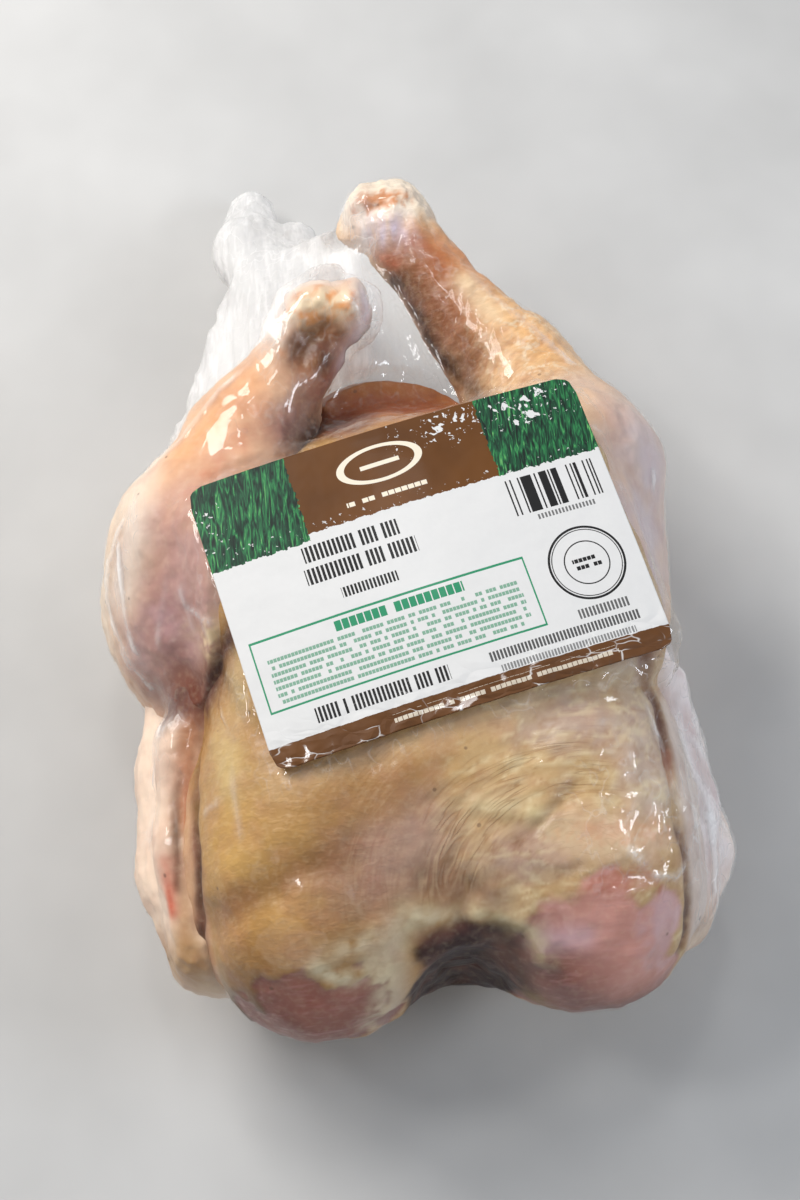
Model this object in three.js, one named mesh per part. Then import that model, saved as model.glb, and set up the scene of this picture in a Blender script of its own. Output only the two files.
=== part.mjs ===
// A whole raw chicken sealed in a clear shrink bag, with a paper label on its breast.
// The bag is drawn down tight on the bird, so the sealed pack is one solid: the outer form of the
// film, with the bird's breast, legs and wings showing through it as relief. The label is a second,
// thin solid that lies on it.
// Millimetres. The bird lies on its back: +Z is up, out of the breast, and +Y runs from the neck to the legs.
// The origin is the centre of the pack's footprint, on the surface that it rests on.
import * as THREE from "three";

// ---- Driving dimensions

const BIRD_MIDDLE_X = 4; // the keel's line, a little right of the pack's middle
const BREAST_HALF_WIDTH = 64; // from the keel to the side of the breast
const BREAST_TOP = 95.5; // height of the keel over the table
const LOBE_FRONT_Y = -116; // the front of the two breast lobes
const VENT_Y = 72; // the rear edge of the body, between the legs
const BACK_FLAT = 3; // how much of the soft back is pressed flat by the pack's own weight

const SHANK_R = 10.5; // the thin end of a drumstick, over the skin
const HOCK_R = 13.2; // the knuckle where the foot was cut off
const CALF_R = 24; // the thick end of a drumstick
const WING_R = 10.5; // the upper arm of a wing

const BODY_BLEND = 9; // how softly the film rounds the hollow where two parts of the body meet
const LIMB_BLEND = 5; // the same, where a leg or a wing lies on the body
const CREASE_BLEND = 3.5; // the same, in the creases of a folded wing and beside it
const FILM_WEB = 10; // thickness of the solid where only loose film spans a gap

const LABEL_WIDTH = 101.6; // a 4 by 3 inch label
const LABEL_HEIGHT = 76.2;
const LABEL_THICKNESS = 0.4;
const LABEL_CORNER = 4;
const LABEL_TURN = THREE.MathUtils.degToRad(12.4);
const LABEL_CENTRE = new THREE.Vector2(6, -8.5);
const LABEL_TOP = 99; // height of the label's highest line
const LABEL_BEND_R = 420; // radius that the label is bent to, over the breast
const LABEL_GAP = 0.4; // clearance between the label and the film

const GRID_STEP = 5; // spacing of the grid that the pack's surface is traced on
const ROOM = [
  [-100, -135, BACK_FLAT - 8], // the corners of that grid, clear of the pack on all sides
  [105, 165, 115],
];

const v3 = (x, y, z) => new THREE.Vector3(x, y, z);

// ---- Signed distance functions: each takes a point and returns its distance, negative inside

// An egg shape with the given half axes, turned about its centre. Plump 2 is an ellipsoid, more is
// fuller.
function egg(centre, radii, turn = [0, 0, 0], plump = 2) {
  const degrees = turn.map(THREE.MathUtils.degToRad);
  const back = new THREE.Quaternion().setFromEuler(new THREE.Euler(...degrees)).invert();
  const local = v3();
  return (point) => {
    local.copy(point).sub(centre).applyQuaternion(back).divide(radii);
    const size = local.toArray().map(Math.abs);
    const reach = size.reduce((sum, part) => sum + part ** plump, 0) ** (1 / plump);
    if (reach < 1e-6) return -Math.min(radii.x, radii.y, radii.z);
    const slope = Math.hypot(...size.map((part, i) => (part / reach) ** (plump - 1) / radii.getComponent(i)));
    return (reach - 1) / slope;
  };
}

// A round bar that tapers from one ball to the next.
function taper(start, end, startR, endR) {
  const axis = end.clone().sub(start);
  const lengthSq = axis.lengthSq();
  const offset = v3();
  return (point) => {
    const along = THREE.MathUtils.clamp(offset.copy(point).sub(start).dot(axis) / lengthSq, 0, 1);
    return offset.addScaledVector(axis, -along).length() - THREE.MathUtils.lerp(startR, endR, along);
  };
}

// The smooth union of two distances, which fills the hollow between them over the blend width.
function soften(a, b, width) {
  const near = Math.max(width - Math.abs(a - b), 0) / width;
  return Math.min(a, b) - (near * near * width) / 4;
}

function blend(width, ...shapes) {
  return (point) => shapes.reduce((distance, shape) => soften(distance, shape(point), width), 1e3);
}

// Shape with tool taken out of it, and the edge of the cut rounded over the blend width.
function carve(width, shape, tool) {
  return (point) => -soften(-shape(point), tool(point), width);
}

// A leg or a wing: balls of skin and muscle strung on a line of joints, each station [x, y, z, radius].
function limb(stations) {
  const bars = stations.slice(1).map((to, i) => {
    const from = stations[i];
    return taper(v3(...from.slice(0, 3)), v3(...to.slice(0, 3)), from[3], to[3]);
  });
  return blend(LIMB_BLEND, ...bars);
}

// Loose film stretched over a fan of triangles between corners [x, y, z].
function web(corners) {
  const [hub, ...rim] = corners.map((corner) => v3(...corner));
  const sheets = rim.slice(1).map((to, i) => new THREE.Triangle(hub, rim[i], to));
  const nearest = v3();
  return (point) => {
    const distances = sheets.map((sheet) => sheet.closestPointToPoint(point, nearest).distanceTo(point));
    return Math.min(...distances) - FILM_WEB / 2;
  };
}

// ---- The bird

function body() {
  const lobe = (side, front) => {
    const halfLength = 53;
    const centre = v3(BIRD_MIDDLE_X + side * (BREAST_HALF_WIDTH - 34), front + halfLength, 55);
    return egg(centre, v3(35, halfLength, 37.5), [6, 0, side * 7], 2.15);
  };
  const ribs = egg(v3(BIRD_MIDDLE_X - 2, -28, 46), v3(BREAST_HALF_WIDTH - 6, 78, 50), [0, 0, 0], 2.5);
  const keel = egg(v3(BIRD_MIDDLE_X, -20, 58), v3(52, 62, BREAST_TOP - 58), [4, 0, 0], 2.4);
  const pelvis = egg(v3(BIRD_MIDDLE_X - 3, 20, 38), v3(46, 42, 36));
  const vent = egg(v3(BIRD_MIDDLE_X - 1, VENT_Y - 18, 34), v3(22, 18, 12), [-16, 0, 0]);
  const whole = blend(BODY_BLEND, ribs, lobe(-1, LOBE_FRONT_Y), lobe(1, LOBE_FRONT_Y), keel, pelvis, vent);
  const neckHollow = egg(v3(BIRD_MIDDLE_X + 1, LOBE_FRONT_Y - 1, 50), v3(10, 21, 32), [10, 0, 0]);
  return carve(6, whole, neckHollow);
}

function leftLeg() {
  const thigh = egg(v3(-51, 5, 44), v3(30, 36, 38), [0, 0, 8]);
  const drumstick = limb([
    [-54, -6, 50, CALF_R - 4],
    [-50, 18, 62, CALF_R],
    [-37, 42, 70, 16],
    [-20, 62, 77, SHANK_R],
    [-12, 73, 79, HOCK_R],
  ]);
  return blend(LIMB_BLEND, thigh, drumstick);
}

function rightLeg() {
  const thigh = egg(v3(46, 8, 44), v3(27, 42, 38), [0, 0, -6]);
  const drumstick = limb([
    [54, -6, 50, CALF_R - 5],
    [50, 28, 60, CALF_R],
    [38, 62, 56, 16],
    [18, 94, 57, SHANK_R],
    [7.5, 112, 58, HOCK_R],
  ]);
  return blend(LIMB_BLEND, thigh, drumstick);
}

// A wing folded along the side of the breast: the upper arm below, the forearm and its tip on top of it.
function wing(side, upperArm, forearm) {
  const mirrored = (stations) => stations.map(([x, ...rest]) => [BIRD_MIDDLE_X + side * x, ...rest]);
  return blend(CREASE_BLEND, limb(mirrored(upperArm)), limb(mirrored(forearm)));
}

function leftWing() {
  return wing(
    -1,
    [
      [61, -86, 40, WING_R + 3],
      [69, -66, 41, WING_R + 0.5],
      [68, -38, 42, WING_R],
      [64, -18, 43, WING_R - 1],
    ],
    [
      [63, -87, 51, 9],
      [66, -64, 55, 8],
      [64, -38, 58, 7.5],
      [56, -19, 62, 7],
    ],
  );
}

function rightWing() {
  return wing(
    1,
    [
      [57, -88, 38, WING_R + 2],
      [65.5, -74, 41, WING_R],
      [61, -44, 44, WING_R],
      [56, -22, 48, WING_R - 1],
    ],
    [
      [60, -87, 50, 9],
      [63, -66, 56, 8],
      [60, -34, 59, 7.5],
    ],
  );
}

// ---- The bag's loose film, and the seat that it makes under the label

function looseFilm() {
  const bagEnd = limb([
    [BIRD_MIDDLE_X - 4, 46, 34, 22],
    [-16, 68, 52, 17],
    [-27, 104, 37, 9],
    [-33, 124, 24, 9.5],
    [-31, 145, 11, 7.5],
  ]);
  const secondFold = limb([
    [-22, 104, 38, 7],
    [-18, 128, 22, 6.5],
  ]);
  const besideLeftLeg = web([
    [-27, 56, 68],
    [-64, 34, 46],
    [-48, 66, 43],
    [-38, 100, 34],
    [-14, 74, 66],
  ]);
  const betweenLegs = web([
    [-16, 66, 67],
    [-22, 108, 40],
    [2, 112, 54],
    [20, 84, 52],
    [36, 56, 48],
    [4, 56, 42],
  ]);
  return blend(LIMB_BLEND, bagEnd, secondFold, besideLeftLeg, betweenLegs);
}

const labelAxis = new THREE.Vector2(Math.cos(LABEL_TURN), Math.sin(LABEL_TURN));

// A point of the pack in the label's own flat coordinates: across, up the print.
function onLabel(point) {
  const x = point.x - LABEL_CENTRE.x;
  const y = point.y - LABEL_CENTRE.y;
  return [x * labelAxis.x + y * labelAxis.y, y * labelAxis.x - x * labelAxis.y];
}

// Height of the label's underside over the table: it bends down to both sides over the breast.
function labelHeight(across, up) {
  const drop = (across * across) / (2 * LABEL_BEND_R) + (up * up) / (4 * LABEL_BEND_R);
  return LABEL_TOP - drop - LABEL_THICKNESS;
}

// How far a point lies outside the label's outline, grown by a margin.
function besideLabel(across, up, margin) {
  return Math.max(Math.abs(across) - LABEL_WIDTH / 2, Math.abs(up) - LABEL_HEIGHT / 2) - margin;
}

// The film drawn tight under the label, which spans the hollows between breast and thighs like the
// top of a cushion.
function labelSeat() {
  const overhang = 7;
  const halfDepth = 36;
  return egg(
    v3(LABEL_CENTRE.x, LABEL_CENTRE.y, LABEL_TOP - halfDepth),
    v3(LABEL_WIDTH / 2 + overhang, LABEL_HEIGHT / 2 + overhang, halfDepth),
    [0, 0, THREE.MathUtils.radToDeg(LABEL_TURN)],
    6,
  );
}

// The space that the label lies in, and all above it, a grid step wider than the label.
function spaceOfLabel() {
  return (point) => {
    const [across, up] = onLabel(point);
    return Math.max(besideLabel(across, up, GRID_STEP), labelHeight(across, up) - LABEL_GAP - point.z);
  };
}

function pack() {
  const legged = blend(LIMB_BLEND, body(), leftLeg(), rightLeg());
  const bird = blend(CREASE_BLEND, legged, leftWing(), rightWing());
  const wrapped = blend(LIMB_BLEND, bird, looseFilm());
  const seated = carve(0.01, blend(BODY_BLEND, wrapped, labelSeat()), spaceOfLabel());
  return (point) => Math.max(seated(point), BACK_FLAT - point.z);
}

// ---- Tracing a distance function's surface

// One vertex in each grid cell that the surface crosses, and a square face round each grid edge that
// crosses it.
function trace(field, box, step) {
  const size = box.getSize(v3()).divideScalar(step).ceil().addScalar(1);
  const [nx, ny, nz] = size.toArray();
  const at = (i, j, k) => i + nx * (j + ny * k);
  const corner = (i, j, k) => v3(i, j, k).multiplyScalar(step).add(box.min);
  const values = new Float64Array(nx * ny * nz);
  for (let k = 0; k < nz; k++)
    for (let j = 0; j < ny; j++)
      for (let i = 0; i < nx; i++) values[at(i, j, k)] = field(corner(i, j, k));
  joinAcrossSquares(values, [1, nx, nx * ny], -step / 20);

  const bits = [0, 1, 2, 3, 4, 5, 6, 7].map((n) => [n & 1, (n >> 1) & 1, n >> 2]);
  const cellEdges = [];
  for (let a = 0; a < 8; a++)
    for (const bit of [1, 2, 4]) if (!(a & bit)) cellEdges.push([a, a | bit]);

  const positions = [];
  const vertexOf = new Map();
  for (let k = 0; k < nz - 1; k++)
    for (let j = 0; j < ny - 1; j++)
      for (let i = 0; i < nx - 1; i++) {
        const sum = v3();
        let crossings = 0;
        for (const [a, b] of cellEdges) {
          const pa = [i + bits[a][0], j + bits[a][1], k + bits[a][2]];
          const pb = [i + bits[b][0], j + bits[b][1], k + bits[b][2]];
          const va = values[at(...pa)];
          const vb = values[at(...pb)];
          if (va < 0 === vb < 0) continue;
          sum.add(corner(...pa).lerp(corner(...pb), va / (va - vb)));
          crossings++;
        }
        if (!crossings) continue;
        vertexOf.set(at(i, j, k), positions.length / 3);
        positions.push(...settle(sum.divideScalar(crossings), field).toArray());
      }

  const triangles = [];
  const point = (n) => v3().fromArray(positions, 3 * n);
  const face = (cells, outward) => {
    const q = cells.map((c) => vertexOf.get(at(...c)));
    if (!outward) q.reverse();
    const short = point(q[0]).distanceTo(point(q[2])) < point(q[1]).distanceTo(point(q[3]));
    triangles.push(...(short ? [q[0], q[1], q[2], q[0], q[2], q[3]] : [q[0], q[1], q[3], q[1], q[2], q[3]]));
  };
  for (let k = 1; k < nz - 1; k++)
    for (let j = 1; j < ny - 1; j++)
      for (let i = 1; i < nx - 1; i++) {
        const inside = values[at(i, j, k)] < 0;
        if (inside !== values[at(i + 1, j, k)] < 0)
          face([[i, j - 1, k - 1], [i, j, k - 1], [i, j, k], [i, j - 1, k]], inside);
        if (inside !== values[at(i, j + 1, k)] < 0)
          face([[i - 1, j, k - 1], [i - 1, j, k], [i, j, k], [i, j, k - 1]], inside);
        if (inside !== values[at(i, j, k + 1)] < 0)
          face([[i - 1, j - 1, k], [i, j - 1, k], [i, j, k], [i - 1, j, k]], inside);
      }

  const geometry = new THREE.BufferGeometry();
  geometry.setAttribute("position", new THREE.Float32BufferAttribute(positions, 3));
  geometry.setIndex(triangles);
  return geometry;
}

// Where the inside meets only across the diagonal of a grid square, one outer corner is filled, so
// that no edge of the surface is shared by four faces.
function joinAcrossSquares(values, strides, filled) {
  const squares = strides.map((stride, i) => [stride, strides[(i + 1) % 3]]);
  let joined;
  do {
    joined = 0;
    for (let n = 0; n < values.length; n++)
      for (const [across, up] of squares) {
        const ring = [n, n + across, n + across + up, n + up];
        const inside = ring.map((m) => values[m] < 0);
        if (inside[0] !== inside[2] || inside[1] !== inside[3] || inside[0] === inside[1]) continue;
        const outer = ring.filter((m, i) => !inside[i]);
        const nearest = values[outer[0]] < values[outer[1]] ? outer[0] : outer[1];
        values[nearest] = filled;
        joined++;
      }
  } while (joined);
}

// Moves a point onto the surface along the field's slope, a part of a grid step at a time.
function settle(point, field) {
  const probe = 0.5;
  const turns = 3;
  const flattest = 0.05;
  for (let turn = 0; turn < turns; turn++) {
    const here = field(point);
    const slope = v3(
      field(v3(probe, 0, 0).add(point)) - here,
      field(v3(0, probe, 0).add(point)) - here,
      field(v3(0, 0, probe).add(point)) - here,
    ).divideScalar(probe);
    const steepness = slope.lengthSq();
    if (steepness < flattest) break;
    const shift = slope.multiplyScalar(-here / steepness);
    point.add(shift.clampLength(0, GRID_STEP / 4));
  }
  if (point.z < BACK_FLAT + GRID_STEP / 4) point.z = BACK_FLAT;
  return point;
}

// ---- The label

function labelGeometry() {
  const geometry = new THREE.BoxGeometry(2, 2, LABEL_THICKNESS, 16, 12, 1);
  const position = geometry.getAttribute("position");
  const spot = v3();
  // The box's lines crowd towards its edges, where the corners need them to come out round.
  const spread = (unit, size) => (Math.sin((unit * Math.PI) / 2) * size) / 2;
  for (let i = 0; i < position.count; i++) {
    spot.fromBufferAttribute(position, i);
    spot.x = spread(spot.x, LABEL_WIDTH);
    spot.y = spread(spot.y, LABEL_HEIGHT);
    const overX = Math.max(Math.abs(spot.x) - LABEL_WIDTH / 2 + LABEL_CORNER, 0);
    const overY = Math.max(Math.abs(spot.y) - LABEL_HEIGHT / 2 + LABEL_CORNER, 0);
    if (overX > 0 && overY > 0) {
      const trim = 1 - Math.max(overX, overY) / Math.hypot(overX, overY);
      spot.x -= Math.sign(spot.x) * overX * trim;
      spot.y -= Math.sign(spot.y) * overY * trim;
    }
    position.setXYZ(
      i,
      LABEL_CENTRE.x + spot.x * labelAxis.x - spot.y * labelAxis.y,
      LABEL_CENTRE.y + spot.x * labelAxis.y + spot.y * labelAxis.x,
      labelHeight(spot.x, spot.y) + LABEL_THICKNESS / 2 + spot.z,
    );
  }
  geometry.computeVertexNormals();
  return geometry;
}

// ---- Assembly

const packGeometry = trace(pack(), new THREE.Box3(v3(...ROOM[0]), v3(...ROOM[1])), GRID_STEP);
packGeometry.computeVertexNormals();

const bag = new THREE.Mesh(
  packGeometry,
  new THREE.MeshStandardMaterial({ color: "#d8a98c", roughness: 0.3, metalness: 0 }),
);
bag.name = "bagged_chicken";

const label = new THREE.Mesh(
  labelGeometry(),
  new THREE.MeshStandardMaterial({ color: "#e9e6e4", roughness: 0.4, metalness: 0 }),
);
label.name = "label";

const chicken = new THREE.Group();
chicken.add(bag, label);
const bounds = new THREE.Box3().setFromObject(chicken);
const middle = bounds.getCenter(v3());
chicken.position.set(-middle.x, -middle.y, -bounds.min.z);

export default chicken;
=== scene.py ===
# A whole raw chicken sealed in a clear shrink bag, with a paper label on its breast. The bird's trunk, legs
# and wings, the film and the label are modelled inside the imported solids, which they replace.
# Metres, in the solids' frame: +Z up out of the breast, +Y from the neck to the legs.
import math

import bmesh
import bpy
import numpy as np
from mathutils import Euler, Matrix, Vector, noise
from mathutils.bvhtree import BVHTree


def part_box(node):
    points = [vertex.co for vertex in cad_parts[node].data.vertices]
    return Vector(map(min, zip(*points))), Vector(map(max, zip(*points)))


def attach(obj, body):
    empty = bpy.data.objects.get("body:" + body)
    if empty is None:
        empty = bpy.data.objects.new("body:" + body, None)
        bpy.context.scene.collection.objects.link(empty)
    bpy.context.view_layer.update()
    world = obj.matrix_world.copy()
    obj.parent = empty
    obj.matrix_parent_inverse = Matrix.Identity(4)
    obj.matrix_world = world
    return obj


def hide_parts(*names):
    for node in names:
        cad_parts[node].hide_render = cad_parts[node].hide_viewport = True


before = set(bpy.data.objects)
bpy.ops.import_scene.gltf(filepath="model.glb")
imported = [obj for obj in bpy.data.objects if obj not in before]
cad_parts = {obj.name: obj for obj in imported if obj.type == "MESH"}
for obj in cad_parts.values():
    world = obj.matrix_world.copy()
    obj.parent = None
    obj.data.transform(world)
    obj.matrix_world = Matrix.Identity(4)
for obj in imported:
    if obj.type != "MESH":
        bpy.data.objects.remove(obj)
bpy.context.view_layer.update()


# ---- Trunk
# Two breast muscles on the ribs and the back, with the vent at the rear, all under one skin. The skin was
# cut round at the neck, so the fronts of both muscles are bare, with fat at the cut and a dark hollow
# between them. It grows from overlapping eggs, and its folds and colours are pushed and painted on.

MM = 0.001
# The bird is laid out in millimetres from the middle of its back. Its soft back is pressed flat by 3 mm, and
# a 4 by 3 inch label lies askew on its breast.
LABEL_SIZE = (101.6, 76.2)
LABEL_MIDDLE = (6, -8.5)
LABEL_TURN = 12.4
BACK_FLAT = 3
label_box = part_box("label")
LAYOUT = np.array([
    (label_box[0][0] + label_box[1][0]) / 2 - LABEL_MIDDLE[0] * MM,
    (label_box[0][1] + label_box[1][1]) / 2 - LABEL_MIDDLE[1] * MM,
    -BACK_FLAT * MM,
])
BREAST_HALF_WIDTH = 64
KEEL_X = 4
BREAST_TOP = 95.5
FILM_GAP = 0.45  # between skin and film, where the film lies tight


def egg(form, centre, radii, turn=(0, 0, 0), plump=2):
    """Adds an egg to the form. Plump 2 is an ellipsoid, and more is fuller."""
    ball = bmesh.ops.create_icosphere(form, subdivisions=5, radius=1)["verts"]
    for vert in ball:
        vert.co /= sum(abs(part) ** plump for part in vert.co) ** (1 / plump)
    turned = Euler([math.radians(angle) for angle in turn], "ZYX").to_matrix().to_4x4()
    place = Matrix.Translation(Vector(centre)) @ turned @ Matrix.Diagonal((*radii, 1))
    bmesh.ops.transform(form, matrix=place, verts=ball)


def one_skin(name, form, voxel, rounds):
    """Makes a piece of the form, in metres: its overlapping shapes grow together under one smooth skin."""
    bmesh.ops.scale(form, vec=(MM, MM, MM), verts=form.verts)
    bmesh.ops.translate(form, vec=LAYOUT, verts=form.verts)
    mesh = bpy.data.meshes.new(name)
    form.to_mesh(mesh)
    form.free()
    piece = bpy.data.objects.new(name, mesh)
    bpy.context.scene.collection.objects.link(piece)
    remesh = piece.modifiers.new("one skin", "REMESH")
    remesh.mode = "VOXEL"
    remesh.voxel_size = voxel * MM
    smooth = piece.modifiers.new("smooth", "SMOOTH")
    smooth.factor = 0.5
    smooth.iterations = rounds
    made = bpy.data.meshes.new_from_object(piece.evaluated_get(bpy.context.evaluated_depsgraph_get()))
    piece.modifiers.clear()
    piece.data = made
    bpy.data.meshes.remove(mesh)
    made.name = name
    made.shade_smooth()
    return piece


def tone(code):
    """The linear colour of a screen colour such as c8a26c."""
    parts = [int(code[i : i + 2], 16) / 255 for i in (0, 2, 4)]
    return np.array([part / 12.92 if part < 0.04 else ((part + 0.055) / 1.055) ** 2.4 for part in parts])


def steps(values, low, high):
    """A smooth step from 0 at low to 1 at high."""
    part = np.clip((values - low) / (high - low), 0, 1)
    return part * part * (3 - 2 * part)


class Surface:
    """One piece's surface while it is sculpted and painted, with its points in the layout's millimetres."""

    def __init__(self, piece, base):
        self.piece = piece
        self.count = len(piece.data.vertices)
        flat = np.empty(3 * self.count)
        piece.data.vertices.foreach_get("co", flat)
        self.points = (flat.reshape(-1, 3) - LAYOUT) / MM
        self.colour = np.tile(tone(base), (self.count, 1))
        self.fields = {}
        ends = np.empty(2 * len(piece.data.edges), dtype=int)
        piece.data.edges.foreach_get("vertices", ends)
        self.ends = ends.reshape(-1, 2)
        self.degree = np.bincount(ends, minlength=self.count)

    def normals(self):
        """The way each point faces."""
        self.piece.data.vertices.foreach_set("co", (self.points * MM + LAYOUT).ravel())
        self.piece.data.update()
        flat = np.empty(3 * self.count)
        self.piece.data.vertices.foreach_get("normal", flat)
        return flat.reshape(-1, 3)

    def push(self, heights):
        """Moves each point along its normal by its height."""
        self.points += self.normals() * np.asarray(heights).reshape(-1, 1)

    def spread(self, values, rounds):
        """Each value becomes the mean of its neighbours', over and over."""
        first, second = self.ends.T
        for _ in range(rounds):
            total = np.bincount(first, values[second], self.count)
            total += np.bincount(second, values[first], self.count)
            values = total / self.degree
        return values

    def tuck_in(self, gap, rounds=0):
        """Moves the points that would stick out of the pack back inside it, and smooths them."""
        moved = np.zeros(self.count)
        for i, point in enumerate(self.points * MM + LAYOUT):
            nearest, outward, _, _ = pack_tree.find_nearest(point)
            depth = (nearest - Vector(point)).dot(outward)
            if depth < gap * MM:
                self.points[i] -= np.array(outward) * (gap - depth / MM)
                moved[i] = 1
        if rounds:
            moved = self.spread(moved, 2)[:, None]
            smooth = np.stack([self.spread(axis, rounds) for axis in self.points.T], axis=1)
            self.points += (smooth - self.points) * moved

    def near(self, route, width):
        """1 on the line through the route's stops, fading to 0 over about the width."""
        stops = [np.array(stop, dtype=float) for stop in route]
        nearest = np.linalg.norm(self.points - stops[0], axis=1)
        for start, end in zip(stops, stops[1:]):
            axis = end - start
            along = np.clip((self.points - start) @ axis / (axis @ axis), 0, 1)
            gap = np.linalg.norm(self.points - start - along[:, None] * axis, axis=1)
            nearest = np.minimum(nearest, gap)
        return np.exp(-((nearest / width) ** 2))

    def patch(self, centre, radii, edge=0.35, ragged=0.0):
        """1 inside an egg-shaped patch, 0 outside, with its edge soft and, if ragged, uneven."""
        reach = np.linalg.norm((self.points - np.array(centre)) / np.array(radii), axis=1)
        if ragged:
            reach = reach + ragged * self.rough(min(radii) / 1.5, octaves=4)
        return steps(reach, 1 + edge, 1 - edge)

    def flatten(self, centre, radii, facing, lift):
        """Pulls a patch flat, so that it faces one way and catches the light, and gives the patch."""
        mask = self.patch(centre, radii, 0.2, 0.3)
        facing = np.array(facing) / np.linalg.norm(facing)
        depth = (np.array(centre) + lift * facing - self.points) @ facing
        self.points += (depth * mask)[:, None] * facing
        return mask

    def rough(self, size, seed=0, octaves=3):
        """Uneven values round 0, most of them between -1 and 1. Size is one lump's, or three for its axes."""
        places = self.points / np.broadcast_to(size, 3) + 31.7 * seed
        return np.array([noise.fractal(place, 1, 2, octaves) for place in places.tolist()])

    def facets(self, size, seed=0):
        """0 on the edges of uneven cells of the size, and up to about 1 in their middles."""
        places = self.points / np.broadcast_to(size, 3) + 31.7 * seed
        nearest = np.array([noise.voronoi(place)[0][:2] for place in places.tolist()])
        return nearest[:, 1] - nearest[:, 0]

    def paint(self, code, mask):
        """Lays a colour over the surface, as strongly as the mask says."""
        self.colour += (tone(code) - self.colour) * np.clip(mask, 0, 1)[:, None]

    def stroke(self, code, strength, route, width):
        """Paints along a route."""
        self.paint(code, strength * self.near(route, width))

    def dab(self, code, strength, *patch):
        """Paints a patch."""
        self.paint(code, strength * self.patch(*patch))

    def finish(self):
        """Gives the piece its points, its colours and the fields that its material reads."""
        mesh = self.piece.data
        mesh.vertices.foreach_set("co", (self.points * MM + LAYOUT).ravel())
        colours = mesh.attributes.new("tone", "FLOAT_COLOR", "POINT")
        colours.data.foreach_set("color", np.column_stack([self.colour, np.ones(self.count)]).ravel())
        for name, values in self.fields.items():
            mesh.attributes.new(name, "FLOAT", "POINT").data.foreach_set("value", values)
        mesh.update()


class Value:
    """A number in a shader. Sums with it add the Math nodes that work them out."""

    def __init__(self, shader, socket):
        self.shader = shader
        self.socket = socket

    def _with(self, operation, first, second=None):
        sockets = {0: first} if second is None else {0: first, 1: second}
        return self.shader.node("ShaderNodeMath", {"operation": operation}, sockets)

    def __add__(self, other):
        return self._with("ADD", self, other)

    def __radd__(self, other):
        return self._with("ADD", other, self)

    def __sub__(self, other):
        return self._with("SUBTRACT", self, other)

    def __rsub__(self, other):
        return self._with("SUBTRACT", other, self)

    def __mul__(self, other):
        return self._with("MULTIPLY", self, other)

    def __rmul__(self, other):
        return self._with("MULTIPLY", other, self)

    def __truediv__(self, other):
        return self._with("DIVIDE", self, other)

    def __pow__(self, other):
        return self._with("POWER", self, other)

    def __gt__(self, other):
        return self._with("GREATER_THAN", self, other)

    def __lt__(self, other):
        return self._with("LESS_THAN", self, other)

    def __abs__(self):
        return self._with("ABSOLUTE", self)

    def whole(self):
        """It, rounded down."""
        return self._with("FLOOR", self)

    def part(self):
        """What is left of it when the whole number is taken away."""
        return self._with("FRACT", self)


class Shader:
    """The nodes of one material, or of the room's light."""

    def __init__(self, owner):
        self.owner = owner
        owner.use_nodes = True
        self.nodes = owner.node_tree.nodes
        self.links = owner.node_tree.links
        self.nodes.clear()

    def node(self, kind, settings=None, sockets=None, out=0):
        """Adds a node: its settings, then the values or links of its sockets. Gives one of its outputs."""
        made = self.nodes.new(kind)
        for name, value in (settings or {}).items():
            if name == "stops":
                while len(made.color_ramp.elements) < len(value):
                    made.color_ramp.elements.new(1)
                for element, (position, colour) in zip(made.color_ramp.elements, value):
                    element.position = position
                    element.color = (*colour, 1)
            else:
                setattr(made, name, value)
        for name, value in (sockets or {}).items():
            if isinstance(value, Value):
                self.links.new(value.socket, made.inputs[name])
            else:
                made.inputs[name].default_value = value
        return Value(self, made.outputs[out]) if made.outputs else None

    def place(self, size, stretch=(1, 1, 1)):
        """Object coordinates, counted in lumps of the size in millimetres, stretched on each axis."""
        point = self.node("ShaderNodeTexCoord", out="Object")
        scale = tuple(1 / (size * MM * part) for part in stretch)
        return self.node("ShaderNodeMapping", None, {"Vector": point, "Scale": scale})

    def noise(self, size, detail=3, distortion=0, stretch=(1, 1, 1)):
        """Noise from 0 to 1."""
        sockets = {"Vector": self.place(size, stretch), "Scale": 1}
        sockets |= {"Detail": detail, "Distortion": distortion}
        return self.node("ShaderNodeTexNoise", None, sockets)

    def cells(self, size, feature="F1", stretch=(1, 1, 1), wander=0.0):
        """The distance to the middle of the nearest of uneven cells, or to their edge, in cells."""
        place = self.place(size, stretch)
        if wander:
            sockets = {"Vector": place, "Scale": 0.7, "Detail": 2}
            swirl = self.node("ShaderNodeTexNoise", None, sockets, "Color")
            shift = self.node("ShaderNodeVectorMath", {"operation": "SCALE"}, {0: swirl, "Scale": wander})
            place = self.node("ShaderNodeVectorMath", {"operation": "ADD"}, {0: place, 1: shift})
        sockets = {"Vector": place, "Scale": 1}
        return self.node("ShaderNodeTexVoronoi", {"feature": feature}, sockets, "Distance")

    def fade(self, value, low, high):
        """A smooth step of the value from 0 at low to 1 at high."""
        settings = {"interpolation_type": "SMOOTHSTEP"}
        return self.node("ShaderNodeMapRange", settings, {"Value": value, "From Min": low, "From Max": high})

    def mix(self, factor, first, second):
        """Two colours mixed."""
        return self.node("ShaderNodeMix", {"data_type": "RGBA"}, {0: factor, 6: first, 7: second}, out=2)

    def attribute(self, name, out="Fac"):
        """A field that the piece carries."""
        return self.node("ShaderNodeAttribute", {"attribute_name": name}, None, out)

    def bump(self, height, millimetres):
        """Relief, from a height of 0 to 1 that stands for so many millimetres."""
        sockets = {"Height": height, "Strength": 1, "Distance": millimetres * MM}
        return self.node("ShaderNodeBump", None, sockets)

    def surface(self, shader, output="ShaderNodeOutputMaterial"):
        """Ends the nodes with what the surface looks like, and gives the material."""
        self.node(output, None, {"Surface": shader})
        return self.owner


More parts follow.
